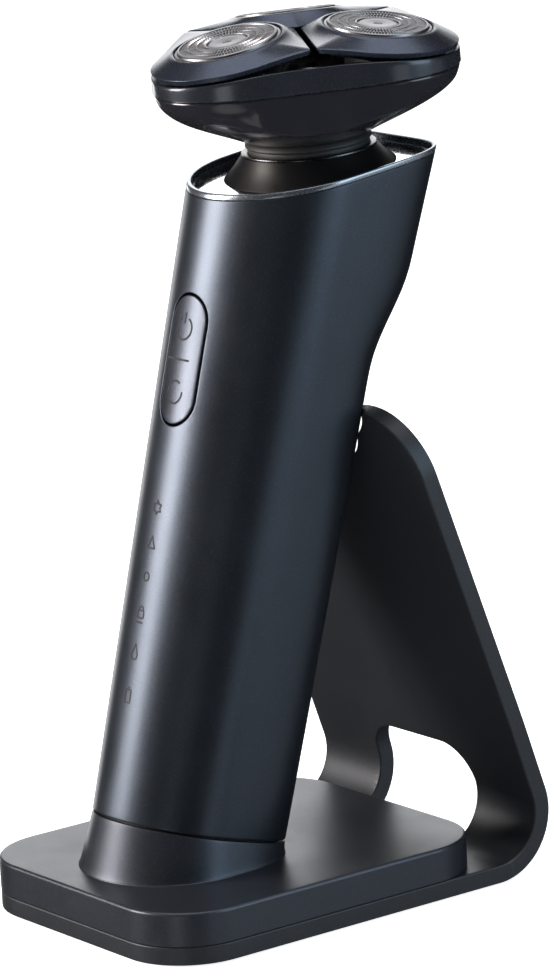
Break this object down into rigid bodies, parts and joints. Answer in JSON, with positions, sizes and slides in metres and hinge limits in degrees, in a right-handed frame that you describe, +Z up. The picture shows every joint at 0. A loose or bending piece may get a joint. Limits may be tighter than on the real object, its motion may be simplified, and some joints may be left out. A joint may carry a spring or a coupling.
{
  "type": "rotary electric shaver on charging stand",
  "caption": "Cordless rotary shaver with a flexing lobed head and tapered handle, leaning in a charging stand with a block base and a bent sheet back plate.",
  "frame": {"origin": "centre of the base in plan, on the plane its feet stand on", "axes": "+Z up, -Y towards the user, +X to the right seen from the front"},
  "size_m": [0.07, 0.0964, 0.1783],
  "materials": {
    "sheet_metal": "black powder coat, satin",
    "base_metal": "dark graphite, satin, fine metallic",
    "contact": "gold-plated",
    "board": "solder mask",
    "wire": "insulation",
    "steel": "steel",
    "feet": "matt rubber",
    "handle_metal": "navy graphite metallic, satin",
    "rim_metal": "polished edge, anodised",
    "deck_mirror": "mirror",
    "neck_black": "black, satin gloss",
    "chrome": "chrome",
    "boot_rubber": "soft rubber",
    "inner_plastic": "moulded",
    "cell_wrap": "shrink wrap",
    "button_metal": "navy graphite metallic, satin",
    "icon": "translucent window",
    "gear": "acetal",
    "head_gloss": "piano black with slight metallic",
    "pod_metal": "slate blue metallic, satin",
    "cutter_steel": "stainless, spun"
  },
  "bodies": {
    "stand": {"stand_plate": "sheet_metal", "base_housing": "base_metal", "cradle_cup": "base_metal", "charge_pins": "contact", "base_circuit_board": "board", "base_wiring": "wire", "charge_inlet": "steel", "inlet_board": "board", "base_screws": "steel", "foot_pad": "feet"},
    "handle": {"handle_shell": "handle_metal", "rim_trim": "rim_metal", "neck_deck": "deck_mirror", "neck_housing": "neck_black", "neck_ring": "chrome", "neck_boot": "boot_rubber", "bottom_cap": "inner_plastic", "bottom_seal": "boot_rubber", "charge_contacts": "contact", "handle_screws": "steel", "inner_frame": "inner_plastic", "battery_cell": "cell_wrap", "battery_tabs": "steel", "motor_can": "steel", "motor_clamp": "inner_plastic", "main_circuit_board": "board", "tact_switches": "inner_plastic", "indicator_windows": "icon", "button_bracket": "inner_plastic", "spindle_bearing": "contact"},
    "button": {"mode_button": "button_metal"},
    "rotor": {"motor_shaft": "steel"},
    "spindle": {"drive_spindle": "steel"},
    "gimbal": {"gimbal_ring": "inner_plastic"},
    "coupling": {"head_coupling": "neck_black"},
    "head": {"head_bowl": "head_gloss", "head_band": "head_gloss", "gear_plate": "gear", "cutter_frame": "neck_black", "coupling_clip": "steel", "pod_springs": "steel", "gear_plate_screws": "steel"},
    "sun": {"sun_gear": "gear"},
    "planet_front": {"planet_gear_front": "gear"},
    "pod_front": {"pod_shell_front": "pod_metal", "outer_cutter_front": "cutter_steel", "cutter_retainers_front": "inner_plastic"},
    "cutter_front": {"inner_cutter_front": "cutter_steel"},
    "planet_right": {"planet_gear_right": "gear"},
    "pod_right": {"pod_shell_right": "pod_metal", "outer_cutter_right": "cutter_steel", "cutter_retainers_right": "inner_plastic"},
    "cutter_right": {"inner_cutter_right": "cutter_steel"},
    "planet_left": {"planet_gear_left": "gear"},
    "pod_left": {"pod_shell_left": "pod_metal", "outer_cutter_left": "cutter_steel", "cutter_retainers_left": "inner_plastic"},
    "cutter_left": {"inner_cutter_left": "cutter_steel"}
  },
  "joints": [
    {"name": "handle_lift", "type": "slide", "parent": "stand", "child": "handle", "axis": [0, 0.2672, 0.9636], "range_m": [0, 0.095]},
    {"name": "button_rock", "type": "hinge", "parent": "handle", "child": "button", "pos_m": [0, -0.00062, 0.11152], "axis": [1, 0, 0], "range_deg": [-1.2, 1.2], "stiffness_Nm_per_rad": 0.6},
    {"name": "motor_spin", "type": "hinge", "parent": "handle", "child": "rotor", "pos_m": [0, 0.02226, 0.12219], "axis": [0, 0.2672, 0.9636], "continuous": true},
    {"name": "spindle_spin", "type": "hinge", "parent": "handle", "child": "spindle", "pos_m": [0, 0.02859, 0.15115], "axis": [0, -0.061, 0.9981], "continuous": true},
    {"name": "head_pitch", "type": "hinge", "parent": "handle", "child": "gimbal", "pos_m": [0, 0.02825, 0.15664], "axis": [1, 0, 0], "range_deg": [-3, 3], "stiffness_Nm_per_rad": 1.2, "deforming": ["neck_boot"]},
    {"name": "head_roll", "type": "hinge", "parent": "gimbal", "child": "coupling", "pos_m": [0, 0.02825, 0.15664], "axis": [0, 0.9981, 0.061], "range_deg": [-3, 3], "stiffness_Nm_per_rad": 1.2, "deforming": ["neck_boot"]},
    {"name": "head_pull", "type": "slide", "parent": "coupling", "child": "head", "axis": [0, -0.061, 0.9981], "range_m": [0, 0.03]},
    {"name": "sun_spin", "type": "hinge", "parent": "head", "child": "sun", "pos_m": [0, 0.02779, 0.16412], "axis": [0, -0.061, 0.9981], "continuous": true},
    {"name": "planet_spin_front", "type": "hinge", "parent": "head", "child": "planet_front", "pos_m": [0, 0.01121, 0.16311], "axis": [0, -0.061, 0.9981], "continuous": true},
    {"name": "pod_flex_front", "type": "hinge", "parent": "head", "child": "pod_front", "pos_m": [0, -0.00246, 0.16728], "axis": [-1, 0, 0], "range_deg": [0, 3], "stiffness_Nm_per_rad": 1, "deforming": ["pod_springs"]},
    {"name": "cutter_spin_front", "type": "hinge", "parent": "pod_front", "child": "cutter_front", "pos_m": [0, 0.00949, 0.17503], "axis": [0, -0.2198, 0.9755], "continuous": true},
    {"name": "planet_spin_right", "type": "hinge", "parent": "head", "child": "planet_right", "pos_m": [0.01438, 0.03608, 0.16463], "axis": [0, -0.061, 0.9981], "continuous": true},
    {"name": "pod_flex_right", "type": "hinge", "parent": "head", "child": "pod_right", "pos_m": [0.02598, 0.04246, 0.17003], "axis": [0.5, -0.8644, -0.0529], "range_deg": [0, 3], "stiffness_Nm_per_rad": 1, "deforming": ["pod_springs"]},
    {"name": "cutter_spin_right", "type": "hinge", "parent": "pod_right", "child": "cutter_right", "pos_m": [0.01524, 0.03584, 0.17664], "axis": [0.1385, 0.0195, 0.9902], "continuous": true},
    {"name": "planet_spin_left", "type": "hinge", "parent": "head", "child": "planet_left", "pos_m": [-0.01438, 0.03608, 0.16463], "axis": [0, -0.061, 0.9981], "continuous": true},
    {"name": "pod_flex_left", "type": "hinge", "parent": "head", "child": "pod_left", "pos_m": [-0.02598, 0.04246, 0.17003], "axis": [0.5, 0.8644, 0.0529], "range_deg": [0, 3], "stiffness_Nm_per_rad": 1, "deforming": ["pod_springs"]},
    {"name": "cutter_spin_left", "type": "hinge", "parent": "pod_left", "child": "cutter_left", "pos_m": [-0.01524, 0.03584, 0.17664], "axis": [-0.1385, 0.0195, 0.9902], "continuous": true}
  ],
  "couplings": [
    {"joint": "spindle_spin", "follows": "motor_spin", "ratio": 1},
    {"joint": "sun_spin", "follows": "motor_spin", "ratio": 1},
    {"joint": "planet_spin_front", "follows": "motor_spin", "ratio": -0.91304},
    {"joint": "cutter_spin_front", "follows": "motor_spin", "ratio": -0.91304},
    {"joint": "planet_spin_right", "follows": "motor_spin", "ratio": -0.91304},
    {"joint": "cutter_spin_right", "follows": "motor_spin", "ratio": -0.91304},
    {"joint": "planet_spin_left", "follows": "motor_spin", "ratio": -0.91304},
    {"joint": "cutter_spin_left", "follows": "motor_spin", "ratio": -0.91304}
  ]
}
